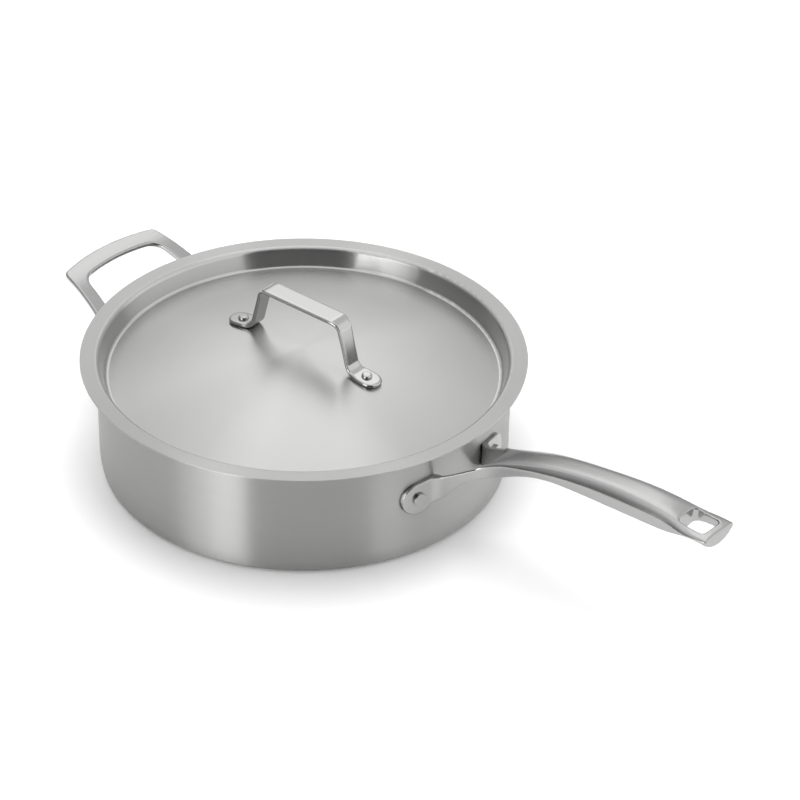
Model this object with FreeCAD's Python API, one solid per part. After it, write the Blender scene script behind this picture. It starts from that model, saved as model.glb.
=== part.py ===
import FreeCAD, Part
import math
import os

from FreeCAD import Vector

# Sizes are in millimetres and angles in degrees.
# The origin is the middle of the pan's base, +Z is up and +X runs along the long handle.

# Pan body
pan_inner_radius = 140.0
pan_height = 82.5
inner_ply_gauge = 0.6
core_ply_gauge = 1.8
outer_ply_gauge = 0.6
heel_radius = 5.0
heel_slope = 12.0
heel_flat = 0.8
flank_radius = 40.0
rim_flare = 75.0
rim_flare_radius = 5.0
rim_lip = 3.2

# Lid plate
lid_gauge = 0.8
lid_seat_clearance = 0.3
lid_play = 0.4
lid_overhang = 4.2
lid_dome_radius = 492.0
lid_corner_radius = 2.4
lid_wall_slope = 72.0
lid_wall_length = 10.2
lid_shoulder_radius = 3.9
lid_edge_round = 0.3
lid_turn = 2.2

# Lid handle
strap_gauge = 3.0
strap_width = 16.0
strap_waist = 1.7
strap_waist_radius = 34.0
strap_waist_reach = 40.5
strap_rise = 35.9
strap_bar_half_flat = 28.6
strap_rivet_reach = 56.0
strap_foot_end = 11.4
strap_leg_slope = 75.0
strap_foot_bend = 6.5
strap_bar_bend = 6.5
strap_edge_round = 1.4

# Long handle, its neck and fork measured out from the wall and its heights from the rim
neck_standoff = 27.0
grip_length = 184.0
neck_drop = 5.1
crest_rise = 28.5
handle_half_width = 14.7
handle_depth = 14.6
handle_edge_round = 0.6
fork_gap_depth = 34.5
fork_gap_half_width = 10.4
fork_gap_sagitta = 3.0
arm_gauge = 3.2
arm_spread = 27.5
arm_bend_radius = 9.0
arm_heel_round = 2.0
pad_gauge = 3.2
pad_radius = 12.0
pad_half_spread = 38.4
hole_length = 20.0
hole_width = 18.2
hole_corner_radius = 3.2
hole_end_wall = 6.0

# Helper handle, measured out from the wall and from the rim
loop_standout = 58.2
loop_rise = 4.1
loop_tip_slope = 6.5
loop_arch_radius = 125.0
loop_arch_turn = 24.0
loop_gauge = 3.8
loop_half_width = 44.2
loop_wall_half_width = 57.7
loop_inner_half_width = 35.0
loop_bar_width = 14.4
loop_arm_width = 11.0
loop_arm_bow = 0.8
loop_bow = 6.8
loop_inner_bow = 4.5
loop_corner_radius = 5.5
loop_inner_radius = 12.0
loop_edge_round = 1.3
loop_pad_half_width = 11.0
loop_pad_top_round = 4.0
loop_rivet_drop = 40.0

# Rivets
rivet_drop = 34.0
rivet_shank_radius = 3.0
rivet_hole_clearance = 0.05
rivet_head_radius = 4.8
rivet_head_height = 2.0
rivet_head_round = 0.5
rivet_tail_radius = 5.0
rivet_tail_height = 1.4
lid_rivet_shank_radius = 2.2
lid_rivet_head_radius = 3.7
lid_rivet_head_height = 2.0
lid_rivet_tail_height = 1.2
button_round_share = 0.75

# Depth by which every cutting shape runs past the face it cuts
overrun = 5.0

# Places along the long handle and its section there, as shares of the handle's own sizes
station_shares = (0.0, 0.038, 0.087, 0.152, 0.25, 0.38, 0.533, 0.696, 0.848, 1.0)
rise_shares = (0.0, 0.105, 0.24, 0.39, 0.585, 0.765, 0.91, 1.0, 0.985, 0.925)
width_shares = (1.163, 0.975, 0.885, 0.878, 0.89, 0.868, 0.882, 0.939, 0.97, 1.0)
crease_shares = (0.16, 0.17, 0.22, 0.31, 0.41, 0.53, 0.63, 0.63, 0.5, 0.12)
flank_shares = (0.75, 0.75, 0.78, 0.68, 0.59, 0.71, 0.89, 0.91, 0.66, 0.26)
belly_shares = (0.82, 0.82, 0.85, 0.77, 0.69, 0.82, 0.99, 1.02, 0.92, 0.71)
shoulder_power = 3.0
shoulder_steps = 8

# Upper and lower edges of a fork arm between the wall and the neck, as shares of its run and rise
arm_run_shares = (0.22, 0.38, 0.71, 1.0, 1.12)
arm_low_shares = (0.185, 0.306, 0.58, 0.733, 0.79)
arm_high_shares = (0.627, 0.68, 0.817, 0.93, 0.965)

# Part of a direction that has to lie along an axis before it counts as running that way
level_share = 0.5

pan_wall = inner_ply_gauge + core_ply_gauge + outer_ply_gauge
pan_outer_radius = pan_inner_radius + pan_wall
handle_start = pan_outer_radius + neck_standoff
handle_reach = handle_start + grip_length
handle_root_height = pan_height - neck_drop
handle_crest_height = pan_height + crest_rise
fork_gap_reach = pan_outer_radius + fork_gap_depth
pad_height = pan_height - rivet_drop
loop_pad_height = pan_height - loop_rivet_drop
loop_reach = pan_outer_radius + loop_standout
loop_height = pan_height + loop_rise
pad_outer_radius = pan_outer_radius + pad_gauge
helper_pad_outer_radius = pan_outer_radius + pad_gauge
rivet_hole_radius = rivet_shank_radius + rivet_hole_clearance
lid_rivet_hole_radius = lid_rivet_shank_radius + rivet_hole_clearance

z_axis = Vector(0, 0, 1)
y_axis = Vector(0, 1, 0)
x_axis = Vector(1, 0, 0)
origin = Vector(0, 0, 0)


# Bent sheet: a run of straights and bends followed in the XZ plane

def sine(angle):
    return math.sin(math.radians(angle))


def cosine(angle):
    return math.cos(math.radians(angle))


def tangent(angle):
    return math.tan(math.radians(angle))


def bend_centre(point, heading, turn, radius):
    side = math.copysign(1, turn)
    return point + Vector(-sine(heading), 0, cosine(heading)) * radius * side


def follow(start, heading, moves, offset):
    """Edges of the path that runs at a distance to the left of the described one, and its end."""
    point = start + Vector(-sine(heading), 0, cosine(heading)) * offset
    first = point
    edges = []
    for straight, turn, radius in moves:
        if straight > 0:
            further = point + Vector(cosine(heading), 0, sine(heading)) * straight
            edges.append(Part.LineSegment(point, further).toShape())
            point = further
        if turn != 0:
            bend = radius - math.copysign(1, turn) * offset
            centre = bend_centre(point, heading, turn, bend)
            spoke = point - centre
            middle = centre + turned(spoke, turn / 2)
            further = centre + turned(spoke, turn)
            edges.append(Part.Arc(point, middle, further).toShape())
            point = further
            heading += turn
    return edges, first, point


def turned(spoke, angle):
    return Vector(
        spoke.x * cosine(angle) - spoke.z * sine(angle),
        0,
        spoke.x * sine(angle) + spoke.z * cosine(angle),
    )


def path_end(start, heading, moves):
    return follow(start, heading, moves, 0)[2]


def sheet_face(start, heading, moves, near, far):
    """Face between two offsets of one path."""
    near_edges, near_first, near_last = follow(start, heading, moves, near)
    far_edges, far_first, far_last = follow(start, heading, moves, far)
    caps = [Part.LineSegment(near_last, far_last).toShape()]
    caps.append(Part.LineSegment(far_first, near_first).toShape())
    loop = Part.Wire(Part.__sortEdges__(near_edges + far_edges + caps))
    return Part.Face(loop)


# Small shared shapes

def outline_prism(points, direction):
    """Prism over a closed outline of straight edges."""
    loop = Part.makePolygon(list(points) + [points[0]])
    return Part.Face(loop).extrude(direction)


def mirrored(shape):
    return shape.mirror(origin, y_axis)


def cylinder_on(radius, length, point, direction):
    return Part.makeCylinder(radius, length, point, direction)


def edges_where(shape, wanted):
    return [edge for edge in shape.Edges if wanted(edge)]


def save(shape, name):
    solid = shape.Solids[0]
    solid.exportStep("parts/" + name + ".step")
    print(name, "solids", len(shape.Solids), "valid", solid.isValid(), "volume", round(solid.Volume, 1))


# Pan body: three bonded plies that share one bent path

heel_turn = 90 - heel_slope
pan_bends = [
    (0, heel_turn, heel_radius),
    (heel_flat, heel_slope, flank_radius),
    (0, -rim_flare, rim_flare_radius),
    (rim_lip, 0, 0),
]
bend_reach = path_end(origin, 0, pan_bends)
wall_reach = path_end(origin, 0, pan_bends[:2])
base_flat = pan_outer_radius - wall_reach.x
wall_straight = pan_height - pan_wall * sine(rim_flare) - bend_reach.z
pan_moves = [
    (base_flat, heel_turn, heel_radius),
    (heel_flat, heel_slope, flank_radius),
    (wall_straight, -rim_flare, rim_flare_radius),
    (rim_lip, 0, 0),
]
rim_outer_radius = path_end(origin, 0, pan_moves).x


def pan_ply(inside, outside):
    return sheet_face(origin, 0, pan_moves, outside, inside).revolve(origin, z_axis, 360)


def spoke_at(half_spread, radius, sideways, ahead):
    """Outward direction through a wall point that lies at a given distance from the XZ plane."""
    across = sideways * half_spread / radius
    return Vector(ahead * math.sqrt(1 - across * across), across, 0)


loop_pad_half_spread = loop_wall_half_width - loop_arm_width / 2
long_spokes = {
    "left": spoke_at(pad_half_spread, pad_outer_radius, -1, 1),
    "right": spoke_at(pad_half_spread, pad_outer_radius, 1, 1),
}
helper_spokes = {
    "left": spoke_at(loop_pad_half_spread, helper_pad_outer_radius, 1, -1),
    "right": spoke_at(loop_pad_half_spread, helper_pad_outer_radius, -1, -1),
}


def wall_hole(spoke, height):
    start = spoke * (pan_inner_radius - overrun) + z_axis * height
    return cylinder_on(rivet_hole_radius, pan_wall + pad_gauge + 2 * overrun, start, spoke)


wall_holes = [wall_hole(spoke, pad_height) for spoke in long_spokes.values()]
wall_holes += [wall_hole(spoke, loop_pad_height) for spoke in helper_spokes.values()]


def drilled(shape, holes):
    for hole in holes:
        shape = shape.cut(hole)
    return shape


def wall_rivet(spoke, height):
    """Flat-headed rivet: head on the pad, shank through pad and wall, tail inside the pan."""
    tail_seat = math.sqrt(pan_inner_radius ** 2 - rivet_tail_radius ** 2)
    base = spoke * tail_seat + z_axis * height
    shank = cylinder_on(rivet_shank_radius, pad_outer_radius - tail_seat, base, spoke)
    head_seat = spoke * pad_outer_radius + z_axis * height
    head = cylinder_on(rivet_head_radius, rivet_head_height, head_seat, spoke)
    head_rim = edges_where(head, lambda edge: (edge.CenterOfMass - head_seat).dot(spoke) > rivet_head_height / 2
                           and len(edge.Vertexes) == 1)
    head = head.makeFillet(min(rivet_head_round, rivet_head_height / 2), head_rim)
    tail = cylinder_on(rivet_tail_radius, rivet_tail_height, base, spoke * -1)
    tail_rim = edges_where(tail, lambda edge: (edge.CenterOfMass - base).dot(spoke) < -rivet_tail_height / 2
                           and len(edge.Vertexes) == 1)
    tail = tail.makeFillet(min(rivet_head_round, rivet_tail_height / 2), tail_rim)
    return shank.fuse(head).fuse(tail)


# Long handle

handle_run = handle_reach - handle_start
handle_rise = handle_crest_height - handle_root_height


def handle_section(station, rise, width, crease, flank, belly):
    """Closed section across the handle: rounded top, upright sides, bowed underside."""
    x = handle_start + handle_run * station
    top = handle_root_height + handle_rise * rise
    half = handle_half_width * width
    crease_z = top - handle_depth * crease
    flank_z = top - handle_depth * flank
    belly_z = top - handle_depth * belly
    points = []
    for step in range(shoulder_steps + 1):
        angle = 180 * step / shoulder_steps
        along = math.copysign(abs(cosine(angle)) ** (2 / shoulder_power), cosine(angle))
        up = abs(sine(angle)) ** (2 / shoulder_power)
        points.append(Vector(x, half * along, crease_z + (top - crease_z) * up))
    points[0] = Vector(x, half, crease_z)
    points[-1] = Vector(x, -half, crease_z)
    crown = Part.BSplineCurve()
    crown.interpolate(points)
    right_low = Vector(x, half, flank_z)
    left_low = Vector(x, -half, flank_z)
    underside = Part.Arc(left_low, Vector(x, 0, belly_z), right_low)
    edges = [
        crown.toShape(),
        Part.LineSegment(points[-1], left_low).toShape(),
        underside.toShape(),
        Part.LineSegment(right_low, points[0]).toShape(),
    ]
    return Part.Wire(edges)


def handle_grip():
    rows = zip(station_shares, rise_shares, width_shares, crease_shares, flank_shares, belly_shares)
    shape = Part.makeLoft([handle_section(*row) for row in rows], True, False)
    tip = edges_where(shape, lambda edge: edge.BoundBox.XMin > handle_reach - handle_edge_round)
    return shape.makeFillet(handle_edge_round, tip)


# Plan line of one arm's outer face, from the handle's root to the wall
arm_root = Vector(handle_start, handle_half_width * width_shares[0], 0)
arm_foot = Vector(math.sqrt(pan_outer_radius ** 2 - arm_spread ** 2), arm_spread, 0)
arm_line = (arm_root - arm_foot).normalize()
arm_inward = Vector(arm_line.y, -arm_line.x, 0)
arm_base_z = pad_height - pad_radius
arm_rise = handle_root_height - arm_base_z
arm_run = handle_start - arm_foot.x
arm_lows = [
    Vector(arm_foot.x + arm_run * along, 0, arm_base_z + arm_rise * low)
    for along, low in zip(arm_run_shares, arm_low_shares)
]
arm_highs = [
    Vector(arm_foot.x + arm_run * along, 0, arm_base_z + arm_rise * high)
    for along, high in zip(arm_run_shares, arm_high_shares)
]
arm_bend_y = arm_foot.y + (arm_lows[0].x - arm_foot.x) * arm_line.y / arm_line.x


def arm_prism():
    """Plan shape of one arm and its pad on the +Y side, upright and with rounded bends."""
    inner_foot = arm_foot + arm_inward * arm_gauge
    corners = [
        arm_root,
        arm_foot - arm_line * pad_gauge,
        inner_foot - arm_line * pad_gauge,
        arm_root + (arm_inward + arm_line) * arm_gauge,
        arm_root + Vector(arm_gauge, -arm_gauge, 0),
    ]
    plate = outline_prism(corners, z_axis * handle_crest_height)
    ring = Part.makeCylinder(pad_outer_radius, handle_crest_height)
    sector = Part.makeBox(pad_outer_radius, pad_half_spread + pad_radius, handle_crest_height)
    sector.translate(Vector(0, inner_foot.y, 0))
    shape = plate.fuse(ring.common(sector)).cut(Part.makeCylinder(pan_outer_radius, handle_crest_height))
    shape = shape.removeSplitter()
    bend = arm_corner(pad_outer_radius, 0)
    heel = arm_corner(pan_outer_radius, arm_gauge)
    shape = shape.makeFillet(arm_bend_radius, upright_edges(shape, bend))
    return shape.makeFillet(arm_heel_round, upright_edges(shape, heel))


def arm_corner(radius, inward):
    """Plan point where a face of the arm meets a circle about the pan's axis."""
    start = arm_foot + arm_inward * inward
    along = start.dot(arm_line)
    reach = math.sqrt(along ** 2 + radius ** 2 - start.dot(start))
    return start + arm_line * (reach - along)


def upright_edges(shape, point):
    near = edges_where(shape, is_upright)
    near.sort(key=lambda edge: math.hypot(edge.CenterOfMass.x - point.x, edge.CenterOfMass.y - point.y))
    return near[:1]


def arm_outline():
    """Side outline of the arms over the XZ plane, left open where the pad takes over."""
    under = Part.BSplineCurve()
    under.interpolate(arm_lows)
    over = Part.BSplineCurve()
    over.interpolate(arm_highs[::-1])
    pad_low = z_axis * arm_base_z
    corners = [arm_highs[0], z_axis * arm_highs[0].z, pad_low, pad_low + x_axis * arm_lows[0].x, arm_lows[0]]
    edges = [under.toShape(), Part.LineSegment(arm_lows[-1], arm_highs[-1]).toShape(), over.toShape()]
    edges += Part.makePolygon(corners).Edges
    return Part.Face(Part.Wire(edges)).extrude(y_axis * (pad_outer_radius + overrun))


def pad_outline():
    """Front outline of the round-ended pad over the YZ plane, left open where the arm takes over."""
    inner = Vector(0, arm_bend_y, arm_lows[0].z)
    gap = Vector(0, pad_half_spread, pad_height) - inner
    lean = math.degrees(math.atan2(gap.z, gap.y) - math.asin(pad_radius / gap.Length))
    reach = math.sqrt(gap.Length ** 2 - pad_radius ** 2)
    touch = inner + Vector(0, cosine(lean), sine(lean)) * reach
    top = Vector(0, pad_half_spread, pad_height + pad_radius)
    tip = Vector(0, pad_half_spread + pad_radius, pad_height)
    crest = z_axis * handle_crest_height
    aside = y_axis * arm_bend_y
    corners = [top, aside + z_axis * arm_highs[0].z, aside + crest, crest, z_axis * inner.z, inner, touch]
    edges = [Part.Arc(touch, tip, top).toShape()] + Part.makePolygon(corners).Edges
    return Part.Face(Part.Wire(edges)).extrude(x_axis * (handle_reach + overrun))


def fork_arm():
    """One arm with its wall pad, on the +Y side."""
    return arm_prism().common(arm_outline()).common(pad_outline())


def fork_gap():
    """Space between the arms, closed towards the grip by a shallow arch."""
    inner_foot = arm_foot + arm_inward * arm_gauge - arm_line * overrun
    inner_root = arm_root + arm_inward * arm_gauge
    corner = Vector(fork_gap_reach - fork_gap_sagitta, fork_gap_half_width, 0)
    apex = Vector(fork_gap_reach, 0, 0)
    side = [inner_foot, inner_root, corner]
    far_side = [Vector(point.x, -point.y, 0) for point in side[::-1]]
    edges = Part.makePolygon(side).Edges
    edges.append(Part.Arc(corner, apex, far_side[0]).toShape())
    edges += Part.makePolygon(far_side + [inner_foot]).Edges
    return Part.Face(Part.Wire(edges)).extrude(z_axis * (handle_crest_height + overrun))


hole_end = handle_reach - hole_end_wall
hole_start = hole_end - hole_length


def is_upright(edge):
    return abs(edge.tangentAt(edge.FirstParameter).z) > cosine(heel_slope)


def hanging_hole():
    block = Part.makeBox(hole_length, hole_width, handle_crest_height)
    block.translate(Vector(hole_start, -hole_width / 2, overrun))
    return block.makeFillet(hole_corner_radius, edges_where(block, is_upright))


def holed_grip():
    """Grip with the hanging hole, its upper rim rounded over."""
    shape = handle_grip().cut(hanging_hole())
    middle_z = handle_crest_height - handle_depth / 2
    rim = edges_where(shape, lambda edge: not is_upright(edge)
                      and edge.CenterOfMass.z > middle_z
                      and hole_start - handle_edge_round < edge.BoundBox.XMin
                      and edge.BoundBox.XMax < hole_end + handle_edge_round)
    return shape.makeFillet(handle_edge_round, rim)


def long_handle():
    arm = fork_arm()
    shape = holed_grip().cut(fork_gap()).fuse([arm, mirrored(arm)])
    return drilled(shape, wall_holes)


# Helper handle, drawn on the +X side and then turned to the far side of the pan

loop_wall_x = math.sqrt(pan_outer_radius ** 2 - loop_pad_half_spread ** 2)
loop_lead = math.degrees(overrun / loop_arch_radius)
loop_centre = Vector(
    loop_reach + loop_arch_radius * sine(loop_tip_slope),
    0,
    loop_height - loop_arch_radius * cosine(loop_tip_slope),
)
loop_heading = 180 + loop_tip_slope - loop_lead
loop_start = loop_centre + Vector(sine(loop_heading), 0, -cosine(loop_heading)) * loop_arch_radius
loop_moves = [
    (0, loop_lead + loop_arch_turn, loop_arch_radius),
    (loop_standout, 0, 0),
]
loop_arch_end = path_end(loop_start, loop_heading, loop_moves[:1])
loop_root_z = loop_arch_end.z - (loop_arch_end.x - loop_wall_x) * tangent(loop_tip_slope + loop_arch_turn)


def loop_outline():
    """Plan shape of the loop: bowed bar and two spreading arms, upright."""
    inner_reach = loop_reach - loop_bar_width
    inner_wall_half_width = loop_wall_half_width - loop_arm_width
    corner = Vector(loop_reach - loop_bow, loop_half_width, 0)
    inner_corner = Vector(inner_reach - loop_inner_bow, loop_inner_half_width, 0)
    foot = loop_foot(loop_wall_half_width, overrun)
    inner_foot = loop_foot(inner_wall_half_width, 3 * overrun)
    outer = rounded_loop(corner, foot, loop_reach, loop_corner_radius)
    inner = rounded_loop(inner_corner, inner_foot, inner_reach, loop_inner_radius)
    return outer.cut(inner)


def loop_foot(half_width, depth):
    """Plan point of an arm's edge behind the wall's outer face."""
    return Vector(math.sqrt((pan_outer_radius - depth) ** 2 - half_width ** 2), half_width, 0)


def rounded_loop(corner, foot, apex_x, radius):
    """Upright prism over a bowed bar edge and the two hollow arm edges that leave its corners."""
    arm = (foot - corner).normalize()
    waist = (corner + foot) / 2 + Vector(-arm.y, arm.x, 0) * loop_arm_bow
    near = [corner, waist, foot]
    far = [Vector(point.x, -point.y, 0) for point in near[::-1]]
    edges = [
        Part.Arc(*near).toShape(),
        Part.LineSegment(foot, far[0]).toShape(),
        Part.Arc(*far).toShape(),
        Part.Arc(far[-1], x_axis * apex_x, corner).toShape(),
    ]
    shape = Part.Face(Part.Wire(edges)).extrude(z_axis * (loop_height + overrun))
    return shape.makeFillet(radius, upright_edges(shape, corner) + upright_edges(shape, far[-1]))


def loop_slab():
    """Arched sheet that the loop is cut from."""
    face = sheet_face(loop_start, loop_heading, loop_moves, 0, loop_gauge)
    face.translate(y_axis * -loop_reach)
    return face.extrude(y_axis * 2 * loop_reach)


def loop_rims(plate):
    """Edges round the loop's upper and lower faces, without the lines where arch and straight meet."""
    level = [face for face in plate.Faces if abs(face.normalAt(*face_middle(face)).z) > level_share]
    edges = [edge for face in level for edge in face.Edges]
    codes = [edge.hashCode() for edge in edges]
    return [edge for edge in edges if codes.count(edge.hashCode()) == 1 and edge.BoundBox.XMax > pan_outer_radius]


def loop_pad():
    """Round-ended pad under one arm, on the +Y side of the drawn handle."""
    left = y_axis * (loop_pad_half_spread - loop_pad_half_width)
    right = y_axis * (loop_pad_half_spread + loop_pad_half_width)
    middle = z_axis * loop_pad_height
    top = z_axis * loop_root_z
    bottom = y_axis * loop_pad_half_spread + z_axis * (loop_pad_height - loop_pad_half_width)
    edges = [Part.Arc(left + middle, bottom, right + middle).toShape()]
    edges += Part.makePolygon([right + middle, right + top, left + top, left + middle]).Edges
    outline = Part.Face(Part.Wire(edges)).extrude(x_axis * (helper_pad_outer_radius + overrun))
    corners = edges_where(outline, lambda edge: edge.CenterOfMass.z > loop_root_z - rivet_hole_clearance
                          and abs(edge.tangentAt(edge.FirstParameter).x) > cosine(heel_slope))
    outline = outline.makeFillet(loop_pad_top_round, corners)
    ring = Part.makeCylinder(helper_pad_outer_radius, loop_height)
    return outline.common(ring).cut(Part.makeCylinder(pan_outer_radius, loop_height))


def helper_handle():
    plate = loop_outline().common(loop_slab())
    plate = plate.makeFillet(loop_edge_round, loop_rims(plate))
    pad = loop_pad()
    shape = plate.cut(Part.makeCylinder(pan_outer_radius, loop_height + overrun))
    shape = shape.fuse([pad, mirrored(pad)])
    shape.rotate(origin, z_axis, 180)
    return drilled(shape, wall_holes)


# Lid plate, its sloping wall set clear of the bend inside the rim

rim_bend_radius = rim_flare_radius + pan_wall
rim_bend_z = wall_reach.z + wall_straight
lid_flange_z = pan_height + lid_seat_clearance + lid_gauge
lid_flange_radius = rim_outer_radius + lid_overhang
lid_wall_stand = rim_bend_radius + lid_play + lid_gauge
lid_wall_near = pan_inner_radius + rim_bend_radius - lid_wall_stand * sine(lid_wall_slope)
lid_wall_near_z = rim_bend_z + lid_wall_stand * cosine(lid_wall_slope)
lid_wall_top_z = lid_flange_z - lid_shoulder_radius * (1 - cosine(lid_wall_slope))
lid_wall_top = lid_wall_near + (lid_wall_top_z - lid_wall_near_z) / tangent(lid_wall_slope)
lid_wall_foot = lid_wall_top - lid_wall_length * cosine(lid_wall_slope)
lid_dome_edge = lid_wall_foot - lid_corner_radius * sine(lid_wall_slope)
lid_dome_turn = math.degrees(math.asin(lid_dome_edge / (lid_dome_radius + lid_corner_radius)))
lid_bends = [
    (0, -lid_dome_turn, lid_dome_radius),
    (0, lid_dome_turn + lid_wall_slope, lid_corner_radius),
    (lid_wall_length, -lid_wall_slope, lid_shoulder_radius),
]
lid_shoulder_end = path_end(origin, 0, lid_bends)
lid_moves = lid_bends + [(lid_flange_radius - lid_shoulder_end.x, 0, 0)]
lid_crown_z = lid_flange_z - lid_shoulder_end.z


def lid_plate():
    face = sheet_face(z_axis * lid_crown_z, 0, lid_moves, 0, -lid_gauge)
    shape = face.revolve(origin, z_axis, 360)
    rims = edges_where(shape, lambda edge: len(edge.Vertexes) == 1
                       and edge.BoundBox.XMax > lid_flange_radius - lid_edge_round)
    shape = shape.makeFillet(min(lid_edge_round, lid_gauge / 3), rims)
    return drilled(shape, [lid_rivet_hole(side) for side in lid_sides.values()])


# Lid handle: one strap bent over a bar, two legs and two feet that lie on the dome

strap_tilt = math.degrees(math.asin(strap_rivet_reach / lid_dome_radius))
strap_seat = Vector(strap_rivet_reach, 0, lid_crown_z - lid_dome_radius * (1 - cosine(strap_tilt)))
foot_normal = Vector(sine(strap_tilt), 0, cosine(strap_tilt))
strap_top_z = lid_crown_z + strap_rise
strap_start = z_axis * (strap_top_z - strap_gauge)
lid_sides = {"near": 1, "far": -1}


def strap_moves(leg, foot):
    return [
        (strap_bar_half_flat, -strap_leg_slope, strap_bar_bend),
        (leg, strap_leg_slope - strap_tilt, strap_foot_bend + strap_gauge),
        (foot, 0, 0),
    ]


def strap_leg_length():
    """Leg that brings the foot's underside down to the plane that touches the dome at the rivet."""
    spare = (path_end(strap_start, 0, strap_moves(0, 0)) - strap_seat).dot(foot_normal)
    return spare / sine(strap_leg_slope - strap_tilt)


def lid_handle():
    leg = strap_leg_length()
    bend_end = path_end(strap_start, 0, strap_moves(leg, 0))
    foot_end = strap_rivet_reach + strap_foot_end
    foot = (foot_end - bend_end.x) / cosine(strap_tilt)
    half = sheet_face(strap_start, 0, strap_moves(leg, foot + overrun), 0, strap_gauge)
    half.translate(y_axis * -strap_width / 2)
    half = half.extrude(y_axis * strap_width)
    shape = half.fuse(half.mirror(origin, x_axis)).common(strap_plan(foot_end)).removeSplitter()
    shape = shape.makeFillet(strap_edge_round, strap_rims(shape))
    shape = drilled(shape, [lid_rivet_hole(side) for side in lid_sides.values()])
    return shape


def strap_plan(foot_end):
    """Plan outline of the strap, hollowed beside the legs and with round foot ends."""
    radius = strap_width / 2
    straight = foot_end - radius
    height = strap_top_z + overrun
    plan = Part.makeBox(2 * straight, strap_width, height)
    plan.translate(Vector(-straight, -radius, 0))
    ends = [Part.makeCylinder(radius, height, x_axis * straight * side) for side in lid_sides.values()]
    plan = plan.fuse(ends).removeSplitter()
    hollow_y = radius - strap_waist + strap_waist_radius
    for along in lid_sides.values():
        for across in lid_sides.values():
            centre = Vector(strap_waist_reach * along, hollow_y * across, 0)
            plan = plan.cut(Part.makeCylinder(strap_waist_radius, height, centre))
    run = math.sqrt(2 * strap_waist * strap_waist_radius - strap_waist ** 2)
    corners = edges_where(plan, lambda edge: is_upright(edge)
                          and abs(abs(abs(edge.CenterOfMass.x) - strap_waist_reach) - run) < strap_edge_round)
    return plan.makeFillet(strap_waist_radius / 2, corners)


def strap_rims(shape):
    """Edges round the strap's upper and lower faces."""
    def on_side(edge):
        return abs(edge.tangentAt(edge.FirstParameter).z) < cosine(heel_slope) or edge.Length > strap_width
    rims = []
    for face in shape.Faces:
        middle = face.valueAt(*face_middle(face))
        normal = face.normalAt(*face_middle(face))
        upright_end = isinstance(face.Surface, Part.Cylinder) and abs(face.Surface.Axis.z) > cosine(heel_slope)
        if abs(normal.y) > level_share or (upright_end and abs(middle.x) > strap_rivet_reach):
            rims += [edge for edge in face.Edges if on_side(edge)]
    return rims


def face_middle(face):
    low_u, high_u, low_v, high_v = face.ParameterRange
    return (low_u + high_u) / 2, (low_v + high_v) / 2


def lid_rivet_line(side):
    """Seat on the dome and outward direction of one lid rivet, in the handle's own frame."""
    seat = Vector(strap_seat.x * side, 0, strap_seat.z)
    return seat, Vector(foot_normal.x * side, 0, foot_normal.z)


def lid_rivet_hole(side):
    seat, normal = lid_rivet_line(side)
    start = seat - normal * (lid_gauge + overrun)
    return cylinder_on(lid_rivet_hole_radius, lid_gauge + strap_gauge + 2 * overrun, start, normal)


def lid_rivet(side):
    """Button-headed rivet through the strap's foot and the lid."""
    seat, normal = lid_rivet_line(side)
    tail_seat = seat - normal * (lid_gauge + rivet_hole_clearance)
    head_seat = seat + normal * strap_gauge
    shank = cylinder_on(lid_rivet_shank_radius, (head_seat - tail_seat).Length, tail_seat, normal)
    head = button(head_seat, normal, lid_rivet_head_height)
    tail = button(tail_seat, normal * -1, lid_rivet_tail_height)
    return shank.fuse(head).fuse(tail)


def button(seat, normal, height):
    """Round head whose top rim is rounded over."""
    head = cylinder_on(lid_rivet_head_radius, height, seat, normal)
    rim = edges_where(head, lambda edge: (edge.CenterOfMass - seat).dot(normal) > height / 2
                      and len(edge.Vertexes) == 1)
    return head.makeFillet(height * button_round_share, rim)


def on_lid(shape):
    """The lid's handle stands turned a little from the long handle, as the lid was set down."""
    shape.rotate(origin, z_axis, lid_turn)
    return shape


os.makedirs("parts", exist_ok=True)
save(drilled(pan_ply(outer_ply_gauge, 0), wall_holes), "pan_outer_ply")
save(drilled(pan_ply(outer_ply_gauge + core_ply_gauge, outer_ply_gauge), wall_holes), "pan_core_ply")
save(drilled(pan_ply(pan_wall, outer_ply_gauge + core_ply_gauge), wall_holes), "pan_inner_ply")
save(long_handle(), "long_handle")
for side, spoke in long_spokes.items():
    save(wall_rivet(spoke, pad_height), "long_handle_rivet_" + side)
save(helper_handle(), "helper_handle")
for side, spoke in helper_spokes.items():
    save(wall_rivet(spoke, loop_pad_height), "helper_handle_rivet_" + side)
save(on_lid(lid_plate()), "lid_plate")
save(on_lid(lid_handle()), "lid_handle")
for name, side in lid_sides.items():
    save(on_lid(lid_rivet(side)), "lid_handle_rivet_" + name)
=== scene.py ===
import bpy
import bmesh
import math
from mathutils import Matrix, Vector


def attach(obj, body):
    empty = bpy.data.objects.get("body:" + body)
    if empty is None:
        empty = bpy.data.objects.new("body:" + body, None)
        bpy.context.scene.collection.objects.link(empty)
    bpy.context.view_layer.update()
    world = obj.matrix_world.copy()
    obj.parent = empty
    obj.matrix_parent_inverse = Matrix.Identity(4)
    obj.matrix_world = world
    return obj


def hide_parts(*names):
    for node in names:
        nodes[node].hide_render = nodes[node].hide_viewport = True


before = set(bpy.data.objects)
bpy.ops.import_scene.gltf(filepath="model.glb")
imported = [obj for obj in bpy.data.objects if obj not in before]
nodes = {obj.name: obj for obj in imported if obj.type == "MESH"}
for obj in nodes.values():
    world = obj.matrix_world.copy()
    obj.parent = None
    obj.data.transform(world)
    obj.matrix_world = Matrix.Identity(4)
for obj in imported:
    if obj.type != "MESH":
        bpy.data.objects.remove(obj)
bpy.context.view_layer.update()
print("frame loaded:", len(nodes), "nodes")


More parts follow.
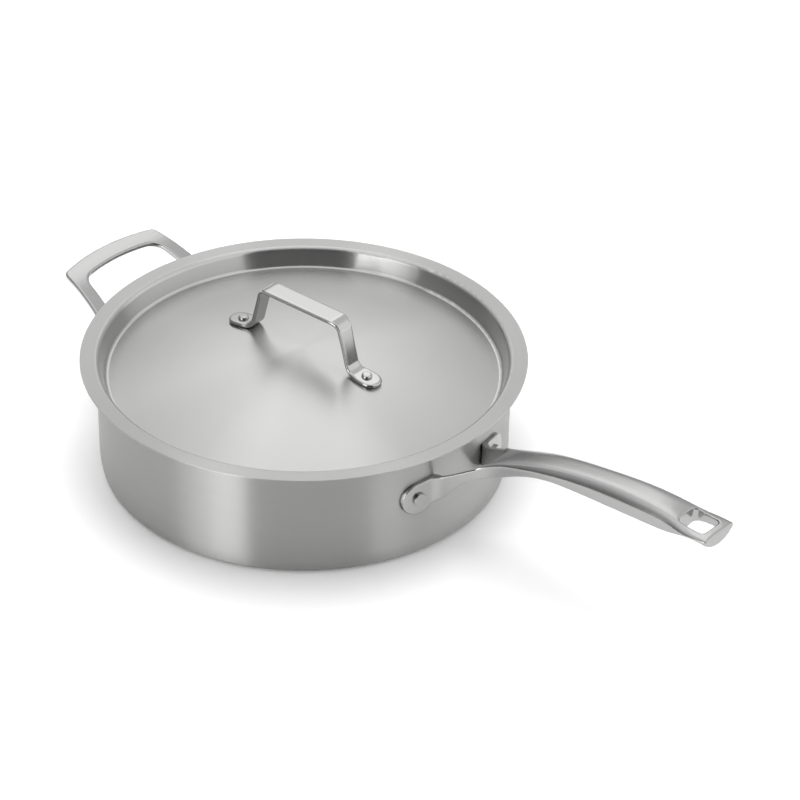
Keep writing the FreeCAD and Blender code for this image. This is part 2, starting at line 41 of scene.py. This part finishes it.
# camera, matched to the photograph
cameraView = {
    "side": -90.0,          # degrees from +X to the -Y side
    "heading": 43.5,        # degrees round the pan, from that side
    "elevation": 33.7613,
    "distance": 2.08969,
    "aimHeight": 0.040,
    "yaw": 2.19277,         # small turns off the pan's middle
    "pitch": 0.10990,
    "roll": 1.14914,
    "lens": 135.0,
    "sensor": 36.0,
    "clipEnd": 50.0,
}


def placeCamera(view):
    heading = math.radians(view["heading"])
    elevation = math.radians(view["elevation"])
    yaw = math.radians(view["yaw"])
    dip = math.radians(view["pitch"]) - elevation
    roll = math.radians(view["roll"])
    toPan = Matrix.Rotation(heading, 3, "Z")   # from the viewer's own axes to the pan's
    away = Vector((0, -math.cos(elevation), math.sin(elevation))) * view["distance"]
    place = toPan @ away + Vector((0, 0, view["aimHeight"]))
    forward = Vector((math.sin(yaw) * math.cos(dip), math.cos(yaw) * math.cos(dip), math.sin(dip)))
    right = Vector((math.cos(yaw), -math.sin(yaw), 0))
    up = right.cross(forward)
    turnedRight = right * math.cos(roll) + up * math.sin(roll)
    turnedUp = up * math.cos(roll) - right * math.sin(roll)
    axes = Matrix((toPan @ turnedRight, toPan @ turnedUp, toPan @ -forward)).transposed()
    camera = bpy.data.objects.new("camera", bpy.data.cameras.new("camera"))
    camera.data.lens = view["lens"]
    camera.data.sensor_width = view["sensor"]
    camera.data.clip_end = view["clipEnd"]
    camera.matrix_world = Matrix.Translation(place) @ axes.to_4x4()
    bpy.context.scene.collection.objects.link(camera)
    bpy.context.scene.camera = camera


placeCamera(cameraView)
print("camera placed")


# node helpers
mixSockets = {"FLOAT": (2, 3, 0), "RGBA": (6, 7, 2)}   # first, second, result


def newMaterial(name):
    material = bpy.data.materials.new(name)
    material.use_nodes = True
    tree = material.node_tree
    tree.nodes.clear()
    return material, tree


def addNode(tree, kind, **settings):
    node = tree.nodes.new(kind)
    for key, value in settings.items():
        setattr(node, key, value)
    return node


def fillSocket(tree, socket, value):
    if isinstance(value, bpy.types.NodeSocket):
        tree.links.new(value, socket)
    else:
        socket.default_value = value


def mathNode(tree, operation, *values):
    node = addNode(tree, "ShaderNodeMath", operation=operation)
    for socket, value in zip(node.inputs, values):
        fillSocket(tree, socket, value)
    return node.outputs[0]


def vectorNode(tree, operation, vector):
    node = addNode(tree, "ShaderNodeVectorMath", operation=operation)
    tree.links.new(vector, node.inputs[0])
    return node


def joinNode(tree, *values):
    node = addNode(tree, "ShaderNodeCombineXYZ")
    for socket, value in zip(node.inputs, values):
        fillSocket(tree, socket, value)
    return node.outputs[0]


def splitNode(tree, vector):
    node = addNode(tree, "ShaderNodeSeparateXYZ")
    tree.links.new(vector, node.inputs[0])
    return node.outputs


def rampNode(tree, factor, low, high, start=0.0, end=1.0):
    node = addNode(tree, "ShaderNodeMapRange")
    tree.links.new(factor, node.inputs["Value"])
    for key, value in (("From Min", start), ("From Max", end), ("To Min", low), ("To Max", high)):
        node.inputs[key].default_value = value
    return node.outputs[0]


def mixNode(tree, kind, factor, first, second):
    node = addNode(tree, "ShaderNodeMix", data_type=kind)
    firstPlace, secondPlace, resultPlace = mixSockets[kind]
    fillSocket(tree, node.inputs[0], factor)
    fillSocket(tree, node.inputs[firstPlace], first)
    fillSocket(tree, node.inputs[secondPlace], second)
    return node.outputs[resultPlace]


def noiseNode(tree, vector, detail, scale=1.0):
    node = addNode(tree, "ShaderNodeTexNoise")
    node.inputs["Scale"].default_value = scale
    node.inputs["Detail"].default_value = detail
    tree.links.new(vector, node.inputs["Vector"])
    return node.outputs["Fac"]


def objectCoords(tree):
    return addNode(tree, "ShaderNodeTexCoord").outputs["Object"]


def closeTree(tree, kind, surface):
    tree.links.new(surface, addNode(tree, kind).inputs["Surface"])


def metalShader(tree, look, tone, rough, grain):
    bump = addNode(tree, "ShaderNodeBump")
    bump.inputs["Strength"].default_value = look["bump"]
    bump.inputs["Distance"].default_value = look["relief"]
    tree.links.new(grain, bump.inputs["Height"])
    shader = addNode(tree, "ShaderNodeBsdfPrincipled")
    shader.inputs["Metallic"].default_value = 1.0
    tree.links.new(tone, shader.inputs["Base Color"])
    tree.links.new(rough, shader.inputs["Roughness"])
    tree.links.new(bump.outputs[0], shader.inputs["Normal"])
    closeTree(tree, "ShaderNodeOutputMaterial", shader.outputs[0])
    return shader


# brushed steel: hairlines run round the pan's axis
brushedSteel = {
    "dark": (0.385, 0.385, 0.38, 1),
    "light": (0.44, 0.44, 0.435, 1),
    "roughness": (0.36, 0.40),
    "anisotropic": 1.0,
    "turn": 0.25,
    "grains": ((6000.0, 0.6), (180.0, 0.4)),    # hairlines and wider bands: how fine, share
    "detail": 3.0,
    "runScale": 1.6,
    "bump": 0.3,
    "relief": 0.00002,
    "rings": (),                # rings of another finish: from, to, roughness
    "ringBlend": 0.001,
}


def ringRoughness(tree, reach, rough, ring, blend):
    start, end, ringRough = ring
    past = rampNode(tree, reach, 0.0, 1.0, start, start + blend)
    short = rampNode(tree, reach, 1.0, 0.0, end, end + blend)
    return mixNode(tree, "FLOAT", mathNode(tree, "MULTIPLY", past, short), rough, ringRough)


def brushedMaterial(name, look):
    material, tree = newMaterial(name)
    x, y, z = splitNode(tree, objectCoords(tree))
    flat = joinNode(tree, x, y)
    reach = vectorNode(tree, "LENGTH", flat).outputs["Value"]
    run = vectorNode(tree, "SCALE", vectorNode(tree, "NORMALIZE", flat).outputs[0])
    run.inputs["Scale"].default_value = look["runScale"]
    aroundX, aroundY = splitNode(tree, run.outputs[0])[:2]
    across = mathNode(tree, "ADD", reach, z)
    grains = []
    mixed = 0.0
    for scale, share in look["grains"]:
        lane = mathNode(tree, "MULTIPLY", across, scale)
        grains.append(noiseNode(tree, joinNode(tree, aroundX, aroundY, lane), look["detail"]))
        mixed = mathNode(tree, "MULTIPLY_ADD", grains[-1], share, mixed)
    tone = mixNode(tree, "RGBA", mixed, look["dark"], look["light"])
    rough = rampNode(tree, mixed, *look["roughness"])
    for ring in look["rings"]:
        rough = ringRoughness(tree, reach, rough, ring, look["ringBlend"])
    shader = metalShader(tree, look, tone, rough, grains[0])
    shader.inputs["Anisotropic"].default_value = look["anisotropic"]
    shader.inputs["Anisotropic Rotation"].default_value = look["turn"]
    lay = addNode(tree, "ShaderNodeTangent", direction_type="RADIAL", axis="Z")
    tree.links.new(lay.outputs[0], shader.inputs["Tangent"])
    return material


# satin steel: fine even blasting on the handles
satinSteel = {
    "dark": (0.37, 0.37, 0.367, 1),
    "light": (0.41, 0.41, 0.407, 1),
    "roughness": (0.20, 0.25),
    "grainScale": 900.0,
    "detail": 3.0,
    "bump": 0.02,
    "relief": 0.0002,
}


def satinMaterial(name, look):
    material, tree = newMaterial(name)
    grain = noiseNode(tree, objectCoords(tree), look["detail"], look["grainScale"])
    tone = mixNode(tree, "RGBA", grain, look["dark"], look["light"])
    metalShader(tree, look, tone, rampNode(tree, grain, *look["roughness"]), grain)
    return material


bodySteel = brushedMaterial("bodySteel", brushedSteel)
lidSteel = brushedMaterial("lidSteel", {
    **brushedSteel,
    "dark": (0.455, 0.455, 0.45, 1),
    "light": (0.505, 0.505, 0.5, 1),
    "roughness": (0.22, 0.26),
    "rings": ((0.1430, 0.2, 0.37),),    # coarser flange
    "bump": 0.05,
})
handleSteel = satinMaterial("handleSteel", satinSteel)
strapSteel = satinMaterial("strapSteel", {
    **satinSteel,
    "dark": (0.42, 0.42, 0.415, 1),
    "light": (0.47, 0.47, 0.465, 1),
    "roughness": (0.15, 0.19),
})
rivetSteel = satinMaterial("rivetSteel", {**satinSteel, "roughness": (0.2, 0.26)})
coreAluminium = satinMaterial("coreAluminium", {
    **satinSteel,
    "dark": (0.6, 0.6, 0.61, 1),
    "light": (0.66, 0.66, 0.67, 1),
})

# cast and bent handles: copies of the CAD nodes with their crisp corners worn round
wear = {
    "weld": 0.000001,
    "polish": 0.5,
    "handles": {                # grain of the skin, rounds of polish, body, slot, finish
        "long_handle": (0.0005, 12, "pan", "handle_steel", handleSteel),
        "helper_handle": (0.00045, 12, "pan", "handle_steel", handleSteel),
        "lid_handle": (0.00040, 20, "lid", "handle_steel", strapSteel),
    },
}


def wearRound(node, grain, rounds, body, slot, finish):
    shape = bmesh.new()
    shape.from_mesh(nodes[node].data)
    bmesh.ops.remove_doubles(shape, verts=shape.verts, dist=wear["weld"])
    mesh = bpy.data.meshes.new(node + "_worn")
    shape.to_mesh(mesh)
    shape.free()
    piece = bpy.data.objects.new(node + "_worn", mesh)
    bpy.context.scene.collection.objects.link(piece)
    skin = piece.modifiers.new("skin", "REMESH")
    skin.mode = "VOXEL"
    skin.voxel_size = grain
    skin.use_smooth_shade = True
    polish = piece.modifiers.new("polish", "SMOOTH")
    polish.factor = wear["polish"]
    polish.iterations = rounds
    ready = bpy.context.evaluated_depsgraph_get()
    worn = bpy.data.meshes.new_from_object(piece.evaluated_get(ready))
    piece.modifiers.clear()
    piece.data = worn
    worn.materials.clear()
    worn.materials.append(finish)
    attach(piece, body)
    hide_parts(node)
    worn.calc_loop_triangles()
    print(node, "worn round:", len(worn.loop_triangles), "triangles")


for node, handle in wear["handles"].items():
    wearRound(node, *handle)

finishes = {                    # the rivets of the pan take rivetSteel
    "pan_outer_ply": bodySteel,
    "pan_core_ply": coreAluminium,
    "pan_inner_ply": bodySteel,
    "lid_plate": lidSteel,
    "lid_handle_rivet_near": strapSteel,
    "lid_handle_rivet_far": strapSteel,
}
for name, node in nodes.items():
    for place in node.material_slots:
        place.material = finishes.get(name, rivetSteel)
print("finishes set")


# floor and studio
studio = {
    "floorSize": 12.0,
    "floorDrop": 0.0001,
    "floorTone": (0.9, 0.9, 0.9, 1),
    "floorGlow": (0.1, 1.0),    # near the pan and far out, where the lamp fades
    "floorGlowReach": (1.0, 3.0),
    "airTone": (1, 1, 1, 1),
    "airLevel": (0.08, 1.0),    # as light and as seen
    "cardReach": 3.0,
    "cardSteps": 24,
    "cards": {                  # degrees round from the camera, height,
                                # glow at the foot and above, where the change ends
        "cameraSide": (-29, 34, 5.0, 0.05, 0.05, 1.0),
        "leftBox": (-46, -29, 2.6, 9.6, 0.9, 1.2),
        "leftScreen": (-54, -46, 2.6, 4.0, 1.3, 1.9),
        "leftFade": (-60, -54, 2.6, 2.8, 1.3, 1.9),
        "leftEdge": (-66, -60, 2.6, 1.5, 1.2, 1.9),
        "leftWall": (-140, -66, 5.0, 0.06, 1.1, 5.0),
        "leftFar": (-165, -140, 6.0, 0.2, 1.15, 2.3),
        "farWall": (-195, -165, 6.0, 0.05, 1.8, 2.3),
        "rightFar": (115, 165, 6.0, 0.4, 0.95, 2.3),
        "rightWall": (34, 115, 2.6, 1.3, 1.3, 1.0),
    },
    "ceilingHeight": 6.0,
    "ceilingGlow": 1.35,
    "lamps": {                  # size, power, place round from the camera, reach, height
        "overhead": (2.6, 97.0, 180, 0.2, 3.2),
    },
}


def seenDirectly(tree):
    path = addNode(tree, "ShaderNodeLightPath").outputs
    either = mathNode(tree, "MAXIMUM", path["Is Camera Ray"], path["Is Glossy Ray"])
    return mathNode(tree, "MAXIMUM", either, path["Is Transmission Ray"])


def glowShader(tree, strength):
    glow = addNode(tree, "ShaderNodeEmission")
    tree.links.new(strength, glow.inputs["Strength"])
    return glow.outputs[0]


def floorMaterial(look):
    material, tree = newMaterial("floorPaper")
    cloth = addNode(tree, "ShaderNodeBsdfDiffuse")
    cloth.inputs["Color"].default_value = look["floorTone"]
    reach = vectorNode(tree, "LENGTH", objectCoords(tree)).outputs["Value"]
    level = rampNode(tree, reach, *look["floorGlow"], *look["floorGlowReach"])
    glow = glowShader(tree, mathNode(tree, "MULTIPLY", seenDirectly(tree), level))
    both = addNode(tree, "ShaderNodeAddShader")
    tree.links.new(cloth.outputs[0], both.inputs[0])
    tree.links.new(glow, both.inputs[1])
    closeTree(tree, "ShaderNodeOutputMaterial", both.outputs[0])
    return material


def layFloor(look):
    mesh = bpy.data.meshes.new("floor")
    shape = bmesh.new()
    bmesh.ops.create_grid(shape, x_segments=1, y_segments=1, size=look["floorSize"] / 2)
    bmesh.ops.translate(shape, verts=shape.verts, vec=(0, 0, -look["floorDrop"]))
    shape.to_mesh(mesh)
    shape.free()
    floor = bpy.data.objects.new("floor", mesh)
    mesh.materials.append(floorMaterial(look))
    bpy.context.scene.collection.objects.link(floor)


def fillWorld(look):
    world = bpy.data.worlds.new("studioAir")
    world.use_nodes = True
    tree = world.node_tree
    tree.nodes.clear()
    air = addNode(tree, "ShaderNodeBackground")
    air.inputs["Color"].default_value = look["airTone"]
    tree.links.new(rampNode(tree, seenDirectly(tree), *look["airLevel"]), air.inputs["Strength"])
    closeTree(tree, "ShaderNodeOutputWorld", air.outputs[0])
    bpy.context.scene.world = world


def aroundCamera(degrees, reach):
    turn = math.radians(cameraView["side"] + cameraView["heading"] + degrees)
    return Vector((math.cos(turn), math.sin(turn), 0)) * reach


def cardMaterial(name, footGlow, topGlow, rise):
    material, tree = newMaterial(name)
    height = splitNode(tree, objectCoords(tree))[2]
    glow = glowShader(tree, rampNode(tree, height, footGlow, topGlow, 0.0, rise))
    closeTree(tree, "ShaderNodeOutputMaterial", glow)
    return material


def hangCard(name, look, start, end, height, footGlow, topGlow, rise):
    mesh = bpy.data.meshes.new(name)
    shape = bmesh.new()
    foot = aroundCamera(start, look["cardReach"])
    ends = [shape.verts.new(foot), shape.verts.new(foot + Vector((0, 0, height)))]
    edge = shape.edges.new(ends)
    bmesh.ops.spin(
        shape, geom=ends + [edge], cent=(0, 0, 0), axis=(0, 0, 1),
        angle=math.radians(end - start), steps=look["cardSteps"],
    )
    shape.to_mesh(mesh)
    shape.free()
    card = bpy.data.objects.new(name, mesh)
    mesh.materials.append(cardMaterial(name, footGlow, topGlow, rise))
    card.visible_camera = False
    bpy.context.scene.collection.objects.link(card)


def hangCeiling(look):
    mesh = bpy.data.meshes.new("ceiling")
    shape = bmesh.new()
    bmesh.ops.create_circle(shape, cap_ends=True, segments=look["cardSteps"], radius=look["cardReach"])
    bmesh.ops.translate(shape, verts=shape.verts, vec=(0, 0, look["ceilingHeight"]))
    shape.to_mesh(mesh)
    shape.free()
    ceiling = bpy.data.objects.new("ceiling", mesh)
    glow = look["ceilingGlow"]
    mesh.materials.append(cardMaterial("ceiling", glow, glow, look["ceilingHeight"]))
    ceiling.visible_camera = False
    ceiling.visible_diffuse = False     # the floor takes no light from it
    bpy.context.scene.collection.objects.link(ceiling)


def hangLamp(name, size, power, degrees, reach, height):
    lamp = bpy.data.objects.new(name, bpy.data.lights.new(name, "AREA"))
    lamp.data.shape = "SQUARE"
    lamp.data.size = size
    lamp.data.energy = power
    place = aroundCamera(degrees, reach) + Vector((0, 0, height))
    aim = place.to_track_quat("Z", "Y").to_matrix().to_4x4()
    lamp.matrix_world = Matrix.Translation(place) @ aim
    lamp.visible_camera = False
    lamp.visible_glossy = False         # the metal mirrors the cards, the floor and the air
    bpy.context.scene.collection.objects.link(lamp)


layFloor(studio)
fillWorld(studio)
for name, card in studio["cards"].items():
    hangCard(name, studio, *card)
hangCeiling(studio)
for name, lamp in studio["lamps"].items():
    hangLamp(name, *lamp)

bpy.context.scene.view_settings.view_transform = "Standard"
print("studio ready")
